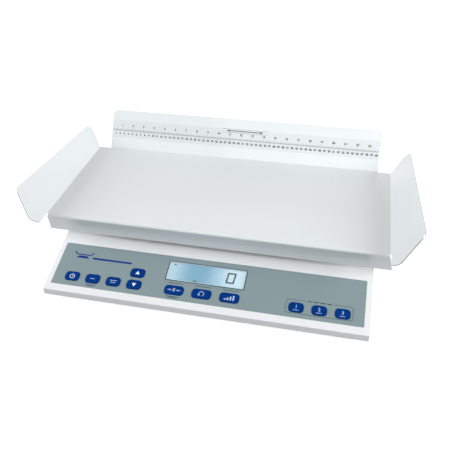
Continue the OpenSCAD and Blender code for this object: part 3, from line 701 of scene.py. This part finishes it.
def makeDigit(spec):
    half, tall, thick, gap = spec["wide"] / 2, spec["tall"] / 2, spec["bar"] / 2, spec["gap"]
    outer, inner = half + thick, half - thick
    high, low = tall + thick, tall - thick

    def leaning(points):
        return [(spec["x"] + x + spec["lean"] * y, spec["y"] + y) for x, y in points]

    ink = Print()
    for rise in (-1, 1):
        ink.solid(leaning([(gap - outer, rise * high), (gap - inner, rise * low),
                           (inner - gap, rise * low), (outer - gap, rise * high)]))
        for side in (-1, 1):
            ink.solid(leaning([(side * outer, rise * gap), (side * outer, rise * (high - gap)),
                               (side * inner, rise * (low - gap)), (side * inner, rise * gap)]))
    for mark in spec["marks"]:
        ink.bar(*mark)
    plane = facePlane("display_glass", consoleFront)
    ink.place("display_digit", plane, inked["segment_ink"], "base")


makeDigit(digit)
print("console printed")

# button legends: plain signs and numbers, in millimetres from a button's middle

powerMark = {"arc": (0, -0.4, 4.6, 122, 418, 1.15), "stem": (0, 2.6, 1.15, 6.4)}
arrowMark = {"half": 4.4, "foot": 3, "tip": 4.6}
lineMark = {"high": 1.3, "pitch": 4.4}
zeroMark = {"high": 7.4, "shaftAt": 10, "shaft": (5, 1.1), "head": (8, 4.6, 2)}
returnMark = {"arc": (0, 0, 4.6, -60, 210, 1.2),
              "head": [(-6.8, -1.2), (-1.8, -1.2), (-4.3, -5.2)]}
barsMark = {"left": -8, "pitch": 5.3, "wide": 3, "foot": -5.1, "highs": (3, 5.4, 7.8, 10.2)}
countMark = {"up": 1.2, "high": 6.6, "dash": (0, -5.4, 10, 1.0)}


def powerSign(ink):
    ink.arc(*powerMark["arc"])
    ink.bar(*powerMark["stem"])


def arrowSign(ink, turn):
    half, foot, tip = (arrowMark[key] for key in ("half", "foot", "tip"))
    ink.solid([(-half, -foot * turn), (half, -foot * turn), (0, tip * turn)][::turn])


def lineSign(ink, *widths):
    pitch = lineMark["pitch"]
    for k, wide in enumerate(widths):
        ink.bar(0, (len(widths) - 1) * pitch / 2 - pitch * k, wide, lineMark["high"])


def zeroSign(ink):
    ink.number(0, 0, 0, zeroMark["high"])
    far, near, half = zeroMark["head"]
    for side in (-1, 1):
        ink.bar(side * zeroMark["shaftAt"], 0, *zeroMark["shaft"])
        ink.solid([(side * far, -half), (side * near, 0), (side * far, half)][::side])


def returnSign(ink):
    ink.arc(*returnMark["arc"])
    ink.solid(returnMark["head"])


def barsSign(ink):
    for k, tall in enumerate(barsMark["highs"]):
        x = barsMark["left"] + barsMark["pitch"] * k
        ink.bar(x, barsMark["foot"] + tall / 2, barsMark["wide"], tall)


def countSign(ink, value):
    ink.number(value, 0, countMark["up"], countMark["high"])
    ink.bar(*countMark["dash"])


# each button's sign and ink
legends = {
    "button_power": (powerSign, "white_ink"),
    "button_left_2": (lambda ink: lineSign(ink, 9), "pale_ink"),
    "button_left_3": (lambda ink: lineSign(ink, 14, 10), "pale_ink"),
    "button_up": (lambda ink: arrowSign(ink, 1), "white_ink"),
    "button_down": (lambda ink: arrowSign(ink, -1), "white_ink"),
    "button_mid_1": (zeroSign, "pale_ink"),
    "button_mid_2": (returnSign, "pale_ink"),
    "button_mid_3": (barsSign, "pale_ink"),
    "button_right_1": (lambda ink: countSign(ink, 1), "pale_ink"),
    "button_right_2": (lambda ink: countSign(ink, 2), "pale_ink"),
    "button_right_3": (lambda ink: countSign(ink, 3), "pale_ink"),
}


def makeLegends():
    for button, (draw, shade) in legends.items():
        ink = Print()
        draw(ink)
        name = button.replace("button", "legend")
        ink.place(name, facePlane(button, consoleFront), inked[shade], button)


makeLegends()
print("legends on", len(legends), "buttons")

# floor, backdrop and lamps

studio = {
    "floor": {"base": colour(140, 141, 143), "tint": colour(140, 141, 143), "rough": 0.9},
    "floorSize": 30,
    "floorGlow": 0.93,
    "skyDiffuse": 0.25,
    "aim": (0, 0, 0.1),
    "lamps": [
        {"name": "frontLamp", "place": (0.2, -1.6, 1.7), "size": 1.6, "power": 12},
        {"name": "leftLamp", "place": (-2.2, -0.4, 1.05), "size": 1.0, "power": 37},
        {"name": "rightLamp", "place": (2.2, -0.4, 1.05), "size": 1.0, "power": 41},
        {"name": "rearLamp", "place": (0, 2.6, 0.6), "size": 1.0, "power": 25},
    ],
}


# one where a ray comes straight from the camera, a reflection or a clear piece, else zero
def seenDirectly(tree):
    path = tree.nodes.new("ShaderNodeLightPath").outputs
    shiny = addMath(tree, "MAXIMUM", path["Is Glossy Ray"], path["Is Transmission Ray"])
    return addMath(tree, "MAXIMUM", path["Is Camera Ray"], shiny)


# the backdrop is seen as white and lights the object with less than that
def makeWorld(spec):
    world = bpy.data.worlds.new("studio")
    world.use_nodes = True
    scene.world = world
    tree = world.node_tree
    background = tree.nodes["Background"]
    background.inputs["Color"].default_value = white
    rest = addMath(tree, "MULTIPLY", seenDirectly(tree), 1 - spec["skyDiffuse"])
    strength = addMath(tree, "ADD", rest, spec["skyDiffuse"])
    feed(tree, background.inputs["Strength"], strength)


# the floor's glow makes it white where it is seen, and its own colour keeps the shadow
def makeFloor(spec):
    half = spec["floorSize"] / 2
    corners = [(-half, -half, 0), (half, -half, 0), (half, half, 0), (-half, half, 0)]
    mesh = bpy.data.meshes.new("floor")
    mesh.from_pydata(corners, [], [(0, 1, 2, 3)])
    material = grainMaterial("floor_paper", spec["floor"])
    tree = material.node_tree
    shader = tree.nodes["Principled BSDF"]
    glow = addMath(tree, "MULTIPLY", seenDirectly(tree), spec["floorGlow"])
    shader.inputs["Emission Color"].default_value = white
    feed(tree, shader.inputs["Emission Strength"], glow)
    mesh.materials.append(material)
    floor = bpy.data.objects.new("floor", mesh)
    scene.collection.objects.link(floor)


def makeLamps(spec):
    for lamp in spec["lamps"]:
        data = bpy.data.lights.new(lamp["name"], "AREA")
        data.size = lamp["size"]
        data.energy = lamp["power"]
        piece = bpy.data.objects.new(lamp["name"], data)
        piece.location = lamp["place"]
        aim = Vector(spec["aim"]) - Vector(lamp["place"])
        piece.rotation_euler = aim.to_track_quat("-Z", "Y").to_euler()
        scene.collection.objects.link(piece)


makeWorld(studio)
makeFloor(studio)
makeLamps(studio)
scene.view_settings.view_transform = "Standard"
print("studio lit")
